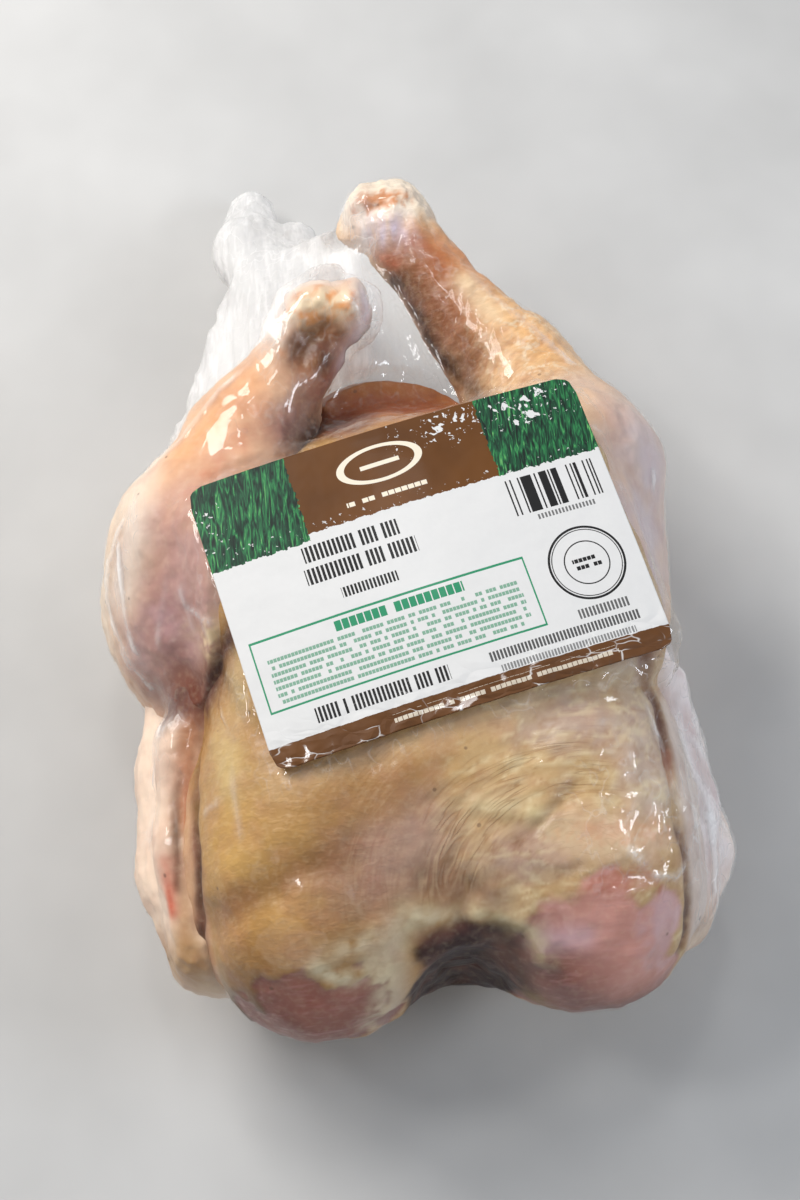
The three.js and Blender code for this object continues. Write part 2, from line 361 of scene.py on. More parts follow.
def rgb(code):
    """A screen colour as a socket takes it."""
    return (*tone(code), 1)


def raw_poultry():
    """Wet raw skin and muscle: the painted tone, mottled, with creases, feather bumps and muscle fibres."""
    shader = Shader(bpy.data.materials.new("raw_poultry"))
    painted = shader.attribute("tone", "Color")
    goose = shader.attribute("goose")
    creased = shader.attribute("creased")
    blotches = shader.noise(9, 2)
    grain = shader.noise(1.6, 2)
    bumps = shader.fade(shader.noise(1.3, 1, stretch=(1.9, 1, 1.4)), 0.4, 0.65) * goose
    pits = shader.fade(shader.cells(9), 0.075, 0.045)
    fibres = shader.noise(1.1, 1, stretch=(6, 1, 1.6)) * shader.attribute("meat")
    # Creases are close together across the sweep, and long along their course.
    across_and_along = {0: shader.attribute("sweep") / 2.8, 1: shader.attribute("course") / 19}
    sockets = {"Vector": shader.node("ShaderNodeCombineXYZ", None, across_and_along), "Scale": 1, "Detail": 2}
    wrinkles = shader.node("ShaderNodeTexNoise", {"noise_dimensions": "2D"}, sockets)
    # The fine creases are painted: darker down their folds for the shade in them, and paler along their
    # ridges for the light on them.
    fold = abs((wrinkles * 4.5).part() - 0.5)
    lines = shader.fade(fold, 0.2, 0.02) * creased
    ridges = shader.fade(fold, 0.2, 0.5) * creased
    colour = shader.mix(shader.fade(blotches, 0.42, 0.7) * 0.25, painted, rgb("a9705a"))
    colour = shader.mix(shader.fade(grain, 0.45, 0.72) * 0.07, colour, rgb("f6e2bc"))
    colour = shader.mix(goose * 0.1 - bumps * 0.1, colour, rgb("7d5527"))
    colour = shader.mix(pits * 0.55, colour, rgb("5f4430"))
    colour = shader.mix(ridges * 0.18, colour, rgb("efd5a6"))
    colour = shader.mix(lines * 0.34, colour, rgb("85541f"))
    colour = shader.mix(shader.fade(fibres, 0.5, 0.75) * 0.2, colour, rgb("dba6a0"))
    relief = fibres * 0.15 + bumps * 0.12 - lines * 0.1
    skin = shader.node(
        "ShaderNodeBsdfPrincipled",
        None,
        {
            "Base Color": colour,
            "Roughness": 0.36 + blotches * 0.2,
            "Specular IOR Level": 0.25,
            "Normal": shader.bump(relief, 0.5),
            "Coat Weight": 0.12,
            "Coat Roughness": 0.12,
        },
    )
    return shader.surface(skin)


poultry = raw_poultry()


def wear(piece, material, node):
    """Gives a piece its material and its place on the body, and hides the solid that it stands for."""
    piece.data.materials.append(material)
    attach(piece, "root")
    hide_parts(node)


# The outside of the pack, which the bird stays inside.
pack_form = bmesh.new()
pack_form.from_mesh(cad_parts["bagged_chicken"].data)
bmesh.ops.remove_doubles(pack_form, verts=pack_form.verts, dist=0.01 * MM)
pack_tree = BVHTree.FromBMesh(pack_form)

trunk_form = bmesh.new()
egg(trunk_form, (KEEL_X - 2, -28, 46), (BREAST_HALF_WIDTH - 6, 78, 50), plump=2.5)
for side in (-1, 1):
    egg(trunk_form, (KEEL_X + side * 30, -63, 55), (35, 53, 37.5), (6, 0, side * 7), 2.15)
egg(trunk_form, (KEEL_X, -20, 58), (52, 62, BREAST_TOP - 58), (4, 0, 0), 2.4)
egg(trunk_form, (*LABEL_MIDDLE, 61), (56, 43.5, 36), (0, 0, LABEL_TURN), 5)
egg(trunk_form, (KEEL_X - 3, 20, 38), (46, 42, 36))
egg(trunk_form, (KEEL_X - 4, 44, 50), (27, 19, 21))
egg(trunk_form, (KEEL_X - 1, 54, 34), (22, 18, 12), (-16, 0, 0))
trunk = one_skin("trunk", trunk_form, voxel=1.0, rounds=40)

skin = Surface(trunk, "b58a4e")
skin.tuck_in(1.0, 6)
left_fold = [(-57, -85, 71), (-50, -84, 81), (-42, -82, 86), (-32, -79, 90), (-20, -76, 91)]
right_fold = [(44, -53, 94), (40, -60, 94), (36, -66, 93), (27, -74, 92), (20, -78, 90)]
slit = [(8, -88, 84), (5, -92, 81)]
left_rim = [(-40, -100, 77), (-28, -98, 81), (-16, -96, 82), (-5, -92, 82), (3, -93, 80)]
right_rim = [(9, -92, 80), (14, -94, 80), (21, -98, 79), (24, -104, 74)]
armpit = [(-56, -40, 66), (-57, -55, 71), (-57, -72, 71), (-58, -79, 66), (-59, -92, 58), (-60, -97, 46)]
right_seam = [(57, -35, 88), (59, -42, 77), (60, -59, 80), (60, -77, 79), (61, -90, 71), (59, -102, 60)]
neck = skin.patch((KEEL_X, -108, 56), (12, 14, 24), 0.35)
right_meat = skin.patch((34.5, -105, 67), (25, 21, 28), 0.08, 0.35)
left_meat = skin.patch((-32, -110, 62), (20, 12.5, 21), 0.07, 0.5)
meat = np.maximum(right_meat, left_meat)
skin.push(-1.5 * neck - 0.5 * meat - 1.3 * skin.near(right_seam, 1.8) - 1.5 * skin.near(armpit, 1.6))
skin.push(-1.5 * skin.near(left_fold, 6) + 0.7 * skin.near([(-48, -92, 76), (-28, -86, 88)], 8))
fold_depth = 0.6 * skin.near(right_fold, 1.8) + 1.3 * skin.near(right_fold[2:], 2.2)
skin.push(-fold_depth - 1.6 * skin.near(slit, 2.5))
ridge = [(12, -68, 92), (30, -74, 91)]
skin.push(1.5 * skin.patch((23, -80, 90), (11, 5, 10), 0.6) + 0.9 * skin.near(ridge, 3))
skin.push(0.9 * skin.near([(30, -77, 91), (39, -81, 90), (50, -82, 87)], 3))
skin.push(0.9 * skin.near(left_rim, 3) + 0.9 * skin.near(right_rim, 3))
skin.push(0.9 * skin.rough((14, 22, 14), 1) + 0.35 * skin.rough((7, 5, 7), 2))

# The creases sweep from the right breast round the keel towards the neck, like part of a long ring.
RING_MIDDLE = (36, -88)
RING_RADIUS = 27
RING_STRETCH = 1.35
x, y, z = skin.points.T
ring_x = (x - RING_MIDDLE[0]) / RING_STRETCH
ring_y = y - RING_MIDDLE[1]
ring = np.hypot(ring_x, ring_y)
creased = steps(np.abs(ring - RING_RADIUS), 13, 4) * steps(x, 54, 32) * steps(y, -95, -84)
creased *= steps(x - 0.5 * y, 18, 40) * steps(z, 66, 76)
skin.push(0.15 * creased * np.sin(2 * math.pi * ring / 4.4 + 3.5 * skin.rough(12, 24)))

# The skin is yellow and brown left of the keel, and paler and pinker, with a net of fine veins, right of it.
right_of_keel = steps(x, -6, 18)
skin.dab("a88a84", 0.7, (-6, -77, 92), (17, 13, 20), 0.6, 0.3)
skin.dab("95683e", 0.6, (-14, -60, 95), (16, 12, 14), 0.6, 0.3)
skin.paint("c2a274", 0.8 * right_of_keel)
# Painted light: the lower left of the breast, which turns away from the lamps, is painted brighter.
skin.stroke("d6ab62", 0.6, [(-48, -66, 87), (-48, -80, 82), (-34, -86, 87)], 9)
skin.stroke("dcc890", 0.6, [(-43, -27, 94), (-50, -42, 85), (-49, -54, 87)], 6)
skin.dab("cf9a55", 0.5, (-42, -91, 82), (14, 7, 14), 0.6, 0.3)
skin.dab("9c7560", 0.6, (-20, -86, 88), (12, 8, 12), 0.6, 0.3)
# Painted shade: the lower front of the left breast, turned away from the lamps, is painted darker brown.
skin.dab("8a5c2e", 0.5, (-34, -99, 76), (24, 8, 14), 0.6, 0.3)
# Painted shade: the valley of the fold across the left breast is painted dark brown.
skin.stroke("6d4118", 0.8, left_fold, 5)
skin.dab("bc9c8c", 0.75, (23, -80, 90), (12, 6, 12), 0.6, 0.3)
skin.dab("b3a09c", 0.6, (36, -50, 94), (14, 7, 14), 0.6, 0.3)
# Painted light: a pale band along the label's lower edge takes out the shadow that the label casts on the
# breast.
skin.stroke("dcb57c", 0.4, [(-34, -59, 93), (0, -51, 95), (30, -45, 95)], 4)
skin.dab("c9bcb4", 0.6, (55, -58, 86), (8, 18, 14), 0.6, 0.3)
pale_ridge = [(12, -68, 92), (22, -70, 93), (30, -77, 91), (39, -81, 90), (50, -82, 87)]
skin.stroke("dccb9c", 0.7, pale_ridge, 3)
skin.dab("d58a50", 0.55, (46, -78, 88), (13, 2.4, 8), 0.6, 0.8)
skin.paint("ead9ae", 0.4 * right_of_keel * steps(np.abs(skin.rough((15, 5, 9), 41)), 0.14, 0.02))
skin.paint("9a6c3c", 0.3 * right_of_keel * steps(np.abs(skin.rough((13, 4, 9), 43)), 0.09, 0.02))
# Painted shade down the crease across the right breast.
skin.stroke("8a5c34", 0.7, right_fold, 1.3)
skin.stroke("6b4022", 0.85, right_fold[2:], 1.8)
skin.dab("dcb496", 0.5, (42, -79, 88), (15, 8, 12), 0.6, 0.4)
skin.stroke("7a5a40", 0.75, [(-2, -84, 88), (6, -88, 85), (12, -90, 83)], 5)
# Painted shade in the short slit near the keel.
skin.stroke("4f301d", 0.9, slit, 1.9)
# Painted shade: the low front of the left side, below the breast, is painted dark brown.
skin.dab("452808", 0.9, (-50, -112, 55), (18, 14, 22), 0.6)

# The bare muscles.
skin.paint("d3988a", right_meat)
shaded = [(20, -99, 77), (28, -106, 68), (36, -112, 56), (50, -112, 52)]
skin.paint("6e3d38", 0.9 * right_meat * skin.near(shaded, 9))
skin.paint("854a3c", left_meat)
skin.paint("a8695a", 0.5 * left_meat * skin.patch((-30, -106, 72), (12, 6, 8), 0.5, 0.4))
skin.paint("d9b6bd", 0.7 * right_meat * skin.near([(22, -101, 78), (33, -100, 79)], 3.5))
skin.paint("cbb0b6", 0.6 * right_meat * skin.patch((54, -98, 72), (6, 10, 14), 0.5, 0.5))
# Painted shade: the right muscle is painted darker towards its bottom, which turns away from the lamps.
skin.paint("8f5c52", 0.7 * right_meat * steps(z, 64, 46))
skin.dab("b0603f", 0.55, (46, -89, 85), (8, 3, 8), 0.4, 0.8)

# Pale fat along the cut edge of the skin, and the hollow of the neck, its dark red flesh painted near black
# for the shade inside it.
ragged = np.clip(0.8 + 0.8 * skin.rough(3, 5), 0, 1)
skin.paint("dfceae", 0.9 * ragged * skin.near(left_rim, 2.8) * (1 - right_meat) * steps(x, -46, -14))
skin.paint("ddcfae", ragged * skin.near([(-17, -101, 79), (-14, -107, 72), (-19, -114, 56)], 3.0))
skin.paint("ddcfae", ragged * skin.near([(-30, -101, 79), (-22, -105, 76)], 2.6))
skin.paint("cfbf97", 0.8 * ragged * skin.near(right_rim, 3.0))
fat = skin.near([(-12, -97, 78), (-13, -105, 69), (-14, -110, 56)], 4.5) * (1 - left_meat)
skin.paint("cbb69e", 0.8 * fat)
cream = skin.near([(-8, -93, 81), (-14, -99, 78), (-17, -106, 69), (-20, -112, 58)], 4.5) * (1 - left_meat)
skin.paint("e2d3ae", 0.85 * cream * np.clip(ragged + 0.2, 0, 1))
# Painted shade, near black, on the side of the right muscle that faces into the neck hollow.
skin.stroke("2c170c", 0.94, [(14, -98, 76), (18, -104, 66), (20, -108, 58)], 5.5)
skin.stroke("96763f", 0.8, [(22, -110, 56), (26, -114, 46), (34, -117, 40)], 4)
# Painted shade: the neck hollow, near black.
skin.paint("2c0806", skin.patch((KEEL_X, -101, 46), (15, 18, 36), 0.14, 0.2))
# Painted shade along the upper lip of the neck hollow.
skin.stroke("4a3638", 0.6, [(-4, -95, 77), (5, -95, 76), (13, -96, 75)], 2.5)

# The sides under the wings, and the slits between wings and breast.
skin.paint("cfa27c", 0.9 * steps(x + 0.08 * (y + 60), -57, -59) * steps(y, -40, -52))
# The slit between the left wing and the breast: a red-brown edge, and painted shade, near black, down its
# middle.
skin.paint("7a3f28", 0.9 * skin.near(armpit, 3.2) * steps(x + 0.08 * (y + 60), -56, -58))
skin.paint("2a1006", skin.near(armpit, 2.4))
# Painted highlight: the skin below the label's right corner is painted pale for the film's sheen there.
skin.stroke("c6b8a6", 0.75, [(50, -36, 91), (58, -33, 88)], 5)
skin.paint("d8c8c0", 0.8 * steps(x, 60, 63) * steps(y, -34, -44))
# Painted shade down the seam between the right breast and wing: dark brown, and darker along its middle and
# lower part.
skin.stroke("7a4a2e", 0.95, right_seam[:3], 3.2)
skin.stroke("552a1a", 0.9, right_seam[:3], 1.6)
skin.paint("4f2419", 0.95 * np.clip(ragged + 0.3, 0, 1) * skin.near(right_seam[3:], 2.1))
skin.stroke("b85f2b", 0.9, [(60, -57, 80), (60, -65, 80)], 1.5)
# Painted shade: the hollow where the left thigh meets the breast and wing is painted near black.
skin.stroke("3f1a12", 0.97, [(-43, -19, 92), (-47, -22, 82), (-52, -30, 70)], 4.5)
skin.paint("e6cbb0", 0.6 * steps(z, 34, 18) * steps(y, -96, -80))

# The vent, between the legs.
vent = skin.patch((KEEL_X - 4, 54, 50), (30, 24, 34), 0.3)
skin.paint("a8642c", 0.95 * vent)
skin.dab("5a2417", 0.9, (-14, 44, 72), (12, 8, 14), 0.5, 0.2)
skin.dab("94422e", 0.6, (4, 50, 64), (18, 5, 12), 0.6, 0.4)
skin.stroke("d6a05a", 0.7, [(-9, 61, 64), (0, 63, 63)], 3)

skin.fields["meat"] = meat * (1 - skin.patch((KEEL_X, -102, 48), (18, 20, 38), 0.3))
skin.fields["goose"] = (1 - meat) * steps(x, 12, -25) * steps(z, 60, 75)
faint = 0.3 * steps(x, -48, -20) * steps(x, 52, 40) * steps(y, -98, -84) * steps(y, 30, 10)
uneven = np.clip(0.65 + 1.6 * skin.rough(9, 25), 0, 1)
skin.fields["creased"] = np.maximum(creased, faint) * (1 - meat) * uneven * steps(z, 62, 72)
skin.fields["sweep"] = ring
# The way round the ring starts where there are no creases.
skin.fields["course"] = RING_RADIUS * ((np.arctan2(ring_y, ring_x) + math.pi / 4) % (2 * math.pi))
skin.tuck_in(FILM_GAP)
skin.finish()
wear(trunk, poultry, "bagged_chicken")


# ---- Legs
# Thigh and drumstick, folded at the knee against the breast and cut off at the hock. The left one is
# raised, and its knuckle points up, with a hollow behind it. The right one lies flatter, and its skin is
# wrinkled.


BALL_SPACING = 2.5


def limb(form, stations):
    """Strings balls closely on the line of a limb's joints, each station x, y, z and radius."""
    for start, end in zip(stations, stations[1:]):
        start, end = np.array(start, dtype=float), np.array(end, dtype=float)
        balls = math.ceil(np.linalg.norm(end[:3] - start[:3]) / BALL_SPACING)
        for i in range(balls + 1):
            *centre, radius = start + (end - start) * i / balls
            matrix = Matrix.Translation(Vector(centre))
            bmesh.ops.create_icosphere(form, subdivisions=3, radius=radius, matrix=matrix)


left_form = bmesh.new()
egg(left_form, (-47, 4, 49), (33, 38, 45), (0, 0, 8))
limb(left_form, [(-54, -6, 50, 21), (-50, 18, 62, 25), (-37, 42, 70, 17), (-20, 62, 77, 12)])
limb(left_form, [(-21, 67, 78, 9.5), (-14, 71, 79, 10.5)])
limb(left_form, [(-16, 68, 79, 9.5), (-6, 72, 80, 8.5)])
left_leg = one_skin("left_leg", left_form, voxel=0.8, rounds=16)

skin = Surface(left_leg, "dfb795")
skin.tuck_in(1.0, 6)
hollow = [(-17, 61, 89), (-19, 57, 88)]
crown = [(-22, 64, 89), (-19, 70, 91), (-12, 72, 92), (-6, 70, 91)]
skin.push(-4.5 * skin.near(hollow, 4.5) - 1.5 * skin.near([(-12, 62, 88), (-8, 58, 85)], 3))
skin.push(1.6 * skin.near(crown, 3) - 1.6 * skin.near([(-15, 68, 91), (-9, 67, 91)], 1.6))
skin.push(0.9 * skin.near(crown, 6) * skin.rough(2.6, 12))
skin.push(0.8 * skin.rough((10, 16, 10), 3) + 0.35 * skin.rough(4, 4))
x, y, z = skin.points.T

# The thigh and the shaded side of the drumstick.
skin.paint("ecd8bf", 0.8 * steps(x - 0.4 * y, -66, -80))
skin.dab("b8875f", 0.6, (-69, -4, 70), (8, 22, 14), 0.6, 0.3)
skin.dab("b08480", 0.85, (-56, -2, 82), (14, 24, 26), 0.6, 0.3)
skin.dab("b08a90", 0.6, (-62, -14, 70), (14, 12, 22), 0.6, 0.3)
skin.stroke("e6a874", 0.8, [(-62, 26, 78), (-46, 40, 84), (-34, 52, 86)], 6)
skin.paint("c97f5c", 0.6 * skin.near([(-50, 20, 88), (-34, 40, 86)], 8) * (0.8 + 0.6 * skin.rough(5, 26)))
skin.stroke("6b3d46", 0.9, [(-24, 38, 84), (-12, 52, 80), (-4, 62, 74)], 7)
# Painted highlight: a pale band down the outside of the thigh.
skin.stroke("f1dfca", 0.6, [(-63, 30, 79), (-66, 14, 79), (-71, 2, 70)], 6)
skin.stroke("331411", 0.96, [(-20, 36, 78), (-11, 46, 74), (-2, 58, 70), (-4, 64, 78)], 6)

# The hollow of the hock, painted dark brown for the shade under the knuckle, and the orange and cream knuckle
# round it.
skin.stroke("7a431f", 0.97, [*hollow, (-14, 62, 86)], 6.5)
skin.stroke("6b381a", 0.95, [(-19, 58, 83), (-12, 59, 83)], 5)
skin.stroke("3a1a0b", 0.95, [(-18, 60, 86), (-13, 63, 85)], 4)
skin.paint("ecd9b4", 0.95 * skin.near(crown, 5) * (1 - skin.near(hollow, 5)))
streaks = np.clip(2.2 * skin.rough((3, 3, 2), 13), 0, 1)
skin.paint("d9822f", 0.95 * skin.near(crown, 7) * streaks)
skin.stroke("a85f28", 0.8, [(-20, 66, 90), (-14, 67, 91), (-8, 67, 91)], 1.6)
skin.stroke("8a5522", 0.9, [(-21, 62, 87), (-16, 59, 84), (-12, 61, 84)], 4.5)
skin.stroke("45210f", 0.9, [(-19, 60, 86), (-14, 60, 84), (-13, 56, 83)], 3.6)
skin.paint("d59a4e", 0.5 * skin.near([(-23, 64, 88), (-16, 66, 90), (-8, 67, 90)], 3) * streaks)
skin.stroke("f1e6dc", 0.85, [(-26, 66, 85), (-22, 76, 84), (-10, 79, 84), (0, 74, 82)], 4)
skin.stroke("ddd0dc", 0.85, [(-1, 72, 85), (-3, 64, 81), (-7, 57, 78)], 4)
# Painted shade: the end of the thigh, deep in the hollow by the breast and wing, is painted dark red-brown,
# near black along its inner edge.
skin.stroke("6e3a22", 0.95, [(-46, -22, 86), (-50, -25, 76), (-55, -29, 68), (-60, -28, 60)], 5.5)
skin.stroke("8a5540", 0.8, [(-58, -21, 68), (-66, -22, 58)], 6)
skin.stroke("6b3422", 0.97, [(-54, -26, 70), (-59, -27, 63)], 5.5)
skin.stroke("32120c", 0.9, [(-45, -21, 88), (-49, -25, 78), (-51, -27, 74)], 2.6)
flap = skin.near([(-58, -14, 80), (-52, -19, 83), (-46, -17, 90)], 3.5)
skin.paint("ecd2a6", flap * np.clip(0.8 + 1.2 * skin.rough(3, 27), 0, 1))
skin.fields["meat"] = 0.35 * np.ones(skin.count)
skin.fields["goose"] = 0.15 * np.ones(skin.count)
skin.tuck_in(FILM_GAP)
skin.finish()
wear(left_leg, poultry, "bagged_chicken")

right_form = bmesh.new()
egg(right_form, (44, 6, 49), (29, 42, 43), (0, 0, -6))
knee_to_hock = [(50, 28, 60, 25), (38, 62, 56, 17), (18, 94, 57, 11), (10, 109, 58, 11.5)]
limb(right_form, [(54, -6, 50, 20), *knee_to_hock])
limb(right_form, [(14, 112, 58, 10.5), (2, 112, 59, 10)])
right_leg = one_skin("right_leg", right_form, voxel=0.8, rounds=16)

skin = Surface(right_leg, "e2b98c")
skin.tuck_in(1.0, 6)
x, y, z = skin.points.T
skin.push(0.8 * skin.rough((12, 12, 12), 5) + 0.35 * skin.rough(4, 6))
skin.push(0.9 * skin.patch((8, 114, 62), (14, 10, 14), 0.5) * skin.rough(4, 14))
between_knuckles = [(0, 108, 68), (6, 110, 71)]
under_knuckle = [(12, 104, 70), (8, 96, 68)]
skin.push(-2.2 * skin.near(between_knuckles, 2.5) - 1.5 * skin.near(under_knuckle, 2.5))
# The skin of the drumstick gathers in folds across it.
shank = np.array([-0.55, 0.83, 0.05])
along_shank = skin.points @ shank
gathered = skin.patch((36, 62, 74), (17, 24, 14), 0.5)
ribs = np.sin(2 * math.pi * (along_shank + 3.5 * skin.rough(8, 15)) / 4)
skin.push(0.16 * gathered * ribs)
skin.dab("c9793f", 0.8, (24, 84, 68), (12, 18, 12), 0.6, 0.4)
skin.stroke("e8b273", 0.7, [(34, 78, 66), (46, 56, 72)], 6)
# Painted shade in the valleys between the folds.
skin.paint("b06c34", 0.3 * gathered * steps(-ribs, 0.1, 0.9))
net = steps(np.abs(skin.rough((7, 4, 5), 42)), 0.13, 0.02)
skin.paint("f8e8c8", 0.6 * skin.patch((34, 66, 74), (22, 26, 14), 0.5) * net)
skin.stroke("9c4f1e", 0.85, [(14, 98, 67), (20, 90, 68), (27, 78, 66)], 5)
skin.stroke("f4dab2", 0.85, [(27, 84, 69), (32, 74, 71)], 4.5)
# Painted shade down the inner side of the drumstick, towards the vent: dark brown, and near black where it
# meets the body.
skin.stroke("77401f", 0.85, [(10, 96, 63), (18, 80, 65), (26, 62, 67)], 7)
skin.stroke("2c110d", 0.97, [(8, 90, 60), (14, 78, 60), (18, 66, 59), (26, 46, 68)], 5)
mottle = 8 * skin.rough(11, 33)
lilac = steps(x - 0.1 * y + mottle, 44, 66) * steps(y + mottle, 64, 22) * steps(z + mottle, 40, 78)
skin.paint("c9b9bf", 0.9 * lilac)
skin.stroke("c2aaa4", 0.6, [(52, 44, 74), (60, 20, 84)], 7)
skin.dab("f1e4d0", 0.9, (8, 114, 66), (16, 9, 14), 0.4, 0.3)
sinew = skin.near([(3, 104, 66), (10, 102, 69)], 5)
skin.paint("cdc0d2", 0.8 * sinew * (0.8 + 0.8 * skin.rough((2, 8, 8), 28)))
skin.stroke("b0583a", 0.8, [(2, 97, 62), (7, 94, 65)], 3)
skin.dab("c8742a", 0.85, (5, 112, 70), (8, 2.6, 6), 0.5, 0.8)
skin.stroke("8a4624", 0.8, [(2, 112, 70), (8, 111, 71)], 1.1)
skin.fields["goose"] = 1.2 * steps(x - 0.1 * y, 52, 40)
skin.fields["creased"] = 0.3 * gathered
skin.fields["sweep"] = along_shank
skin.fields["course"] = skin.points @ np.array([0.83, 0.55, 0])
skin.tuck_in(FILM_GAP)
skin.finish()
wear(right_leg, poultry, "bagged_chicken")


# ---- Wings
# Each is folded along the side of the breast, the upper arm below and the forearm on top, under loose thin
# skin. Both are strung with balls like the legs.

WING_R = 10.5
WINGS = {
    "left_wing": (
        -1,
        [
            (61, -86, 40, WING_R + 3),
            (69, -66, 41, WING_R + 0.5),
            (68, -38, 42, WING_R),
            (64, -18, 43, WING_R - 1),
        ],
        [(63, -87, 51, 9), (66, -64, 55, 8), (64, -38, 58, 7.5), (56, -19, 62, 7)],
    ),
    "right_wing": (
        1,
        [
            (57, -88, 38, WING_R + 2),
            (65.5, -74, 41, WING_R),
            (61, -44, 44, WING_R),
            (56, -22, 48, WING_R - 1),
        ],
        [(60, -87, 50, 9), (63, -66, 56, 8), (60, -34, 59, 7.5)],
    ),
}
wings = []
for name, (side, upper_arm, forearm) in WINGS.items():
    wing_form = bmesh.new()
    for bone in (upper_arm, forearm):
        limb(wing_form, [(KEEL_X + side * x, y, z, radius) for x, y, z, radius in bone])
    wing = one_skin(name, wing_form, voxel=0.7, rounds=8)
    skin = Surface(wing, "f0d6bf")
    skin.tuck_in(0.8, 3)
    skin.push(0.5 * skin.rough((6, 18, 6), 7 + side) + 0.25 * skin.rough(3, 9 + side))
    _, y, z = skin.points.T
    between = [(KEEL_X + side * (x + 2), y, z - 4) for x, y, z, radius in forearm]
    skin.push(-1.2 * skin.near(between, 2.5))
    skin.paint("dcae88", 0.7 * steps(z, 46, 28))
    # Painted shade in the groove between the two bones.
    skin.stroke("a56a45", 0.6, between, 2)
    skin.stroke("d7bfa0", 0.6, [(KEEL_X + side * 61, -94, 48)], 12)
    if side < 0:
        crevice = [(-62.5, -41, 65), (-62.5, -52, 63.5), (-63, -68, 62)]
        skin.push(-0.5 * skin.near(crevice, 1.6) + 0.5 * skin.near([(-66, -60, 60), (-67, -84, 56)], 2.5))
        skin.stroke("b8713f", 0.95, [(-56, -30, 68), (-59, -46, 66), (-61, -58, 64)], 4.5)
        # Painted shade along the wing's inner edge, in the slit beside the breast.
        skin.stroke("5a2a1c", 0.9, [(-54, -32, 68), (-56, -44, 67), (-58, -56, 67)], 2)
        skin.stroke("dba58c", 0.5, [(-66, -60, 58), (-67, -70, 56)], 3)
        skin.stroke("c0946c", 0.9, [(-60, -62, 66), (-62, -76, 62), (-63, -88, 58)], 4)
        skin.stroke("8a4a34", 0.85, [(-58, -60, 70), (-59, -74, 66), (-60, -84, 62)], 1.8)
        # Painted shade down the shallow crevice between the wing's two strips.
        slot = [(-61, -46, 65), *crevice[1:], (-64, -74, 61)]
        skin.paint("5c422e", 0.85 * skin.near(slot, 1.5 + 0.5 * skin.rough((3, 12, 3), 31)))
        skin.stroke("cc5232", 0.85, [(-65.5, -67, 60), (-65.5, -79, 58)], 2.2)
        # Painted shade: the wing's upper end, in the hollow by the thigh and breast, dark brown fading to mid
        # brown.
        skin.paint("5a2c22", 0.95 * steps(y, -37, -29) * steps(z, 50, 58))
        skin.stroke("9a6a4a", 0.7, [(-57, -34, 68), (-60, -40, 66)], 2)
        skin.stroke("b08550", 0.9, [(-61, -92, 57), (-64, -92, 50), (-68, -88, 44)], 7)
    else:
        skin.paint("f0e8ea", 0.85 * steps(y, -94, -84) * steps(z + 8 * skin.rough(9, 34), 28, 58))
        skin.stroke("cfa489", 0.6, [(72, -84, 56), (68, -92, 50)], 5)
        skin.stroke("b98a84", 0.5, [(70, -44, 64), (74, -64, 60)], 3)
    skin.fields["meat"] = 0.2 * np.ones(skin.count)
    skin.fields["goose"] = 0.2 * np.ones(skin.count)
    skin.tuck_in(FILM_GAP)
    skin.finish()
    wear(wing, poultry, "bagged_chicken")
    wings.append(wing)


# ---- Film
# A clear shrink bag of thin glossy plastic. It lies tight on the bird, spans the hollows, wrinkles where it
# has slack, and its end is gathered into pleats beside the left leg. It starts as the outside of the pack
# and is drawn in to just over the skin.

depsgraph = bpy.context.evaluated_depsgraph_get()
bird_trees = [BVHTree.FromObject(part, depsgraph) for part in (trunk, left_leg, right_leg, *wings)]


def height_over_bird(points):
    """How far each point is from the bird's skin, in millimetres, negative inside it."""
    heights = np.full(len(points), 1e3)
    for tree in bird_trees:
        for i, point in enumerate(points * MM + LAYOUT):
            nearest, outward, _, _ = tree.find_nearest(point)
            away = Vector(point) - nearest
            height = math.copysign(away.length, away.dot(outward)) / MM
            heights[i] = min(heights[i], height)
    return heights


def past_label(points):
    """How far each point lies outside the label, seen from above, and how far up the label it is."""
    turn = math.radians(LABEL_TURN)
    x, y = points[:, 0] - LABEL_MIDDLE[0], points[:, 1] - LABEL_MIDDLE[1]
    across = x * math.cos(turn) + y * math.sin(turn)
    up = y * math.cos(turn) - x * math.sin(turn)
    return np.maximum(np.abs(across) - LABEL_SIZE[0] / 2, np.abs(up) - LABEL_SIZE[1] / 2), up


bmesh.ops.translate(pack_form, vec=-LAYOUT, verts=pack_form.verts)
bmesh.ops.scale(pack_form, vec=(1 / MM, 1 / MM, 1 / MM), verts=pack_form.verts)
film = one_skin("film", pack_form, voxel=1.3, rounds=12)
cling = Surface(film, "ffffff")
# Beside the raised knuckle the film stands off like a hood.
cling.push(3 * cling.near([(1, 74, 83), (-1, 64, 79)], 5) + 2 * cling.near([(-25, 78, 83), (-28, 68, 84)], 5))
# It is drawn in to the skin wherever it is close, and kept out of it everywhere.
heights = height_over_bird(cling.points)
past, _ = past_label(cling.points)
on_top = steps(cling.points[:, 2], 70, 80)
under_label = steps(past, 1.5, -1) * on_top
sheets = cling.near([(-25, 77, 84), (-27, 66, 86)], 6) + cling.near([(0, 74, 84), (-3, 62, 76)], 6)
sheets += cling.near([(-2, 112, 64), (1, 102, 64)], 5)
hollows = cling.near([(-18, 61, 87), (-12, 62, 85)], 6)
hollows += cling.near([(-44, -20, 92), (-49, -24, 82), (-55, -30, 72)], 7)
close = np.maximum(steps(heights, 5, 2), np.clip(1.5 * hollows, 0, 1) * steps(heights, 13, 9))
reach = (FILM_GAP - heights) * close * (1 - under_label) * (1 - 0.8 * np.clip(sheets, 0, 1))
cling.push(cling.spread(reach, 3))
heights = height_over_bird(cling.points)
cling.push(np.maximum(FILM_GAP * 0.7 - heights, 0))

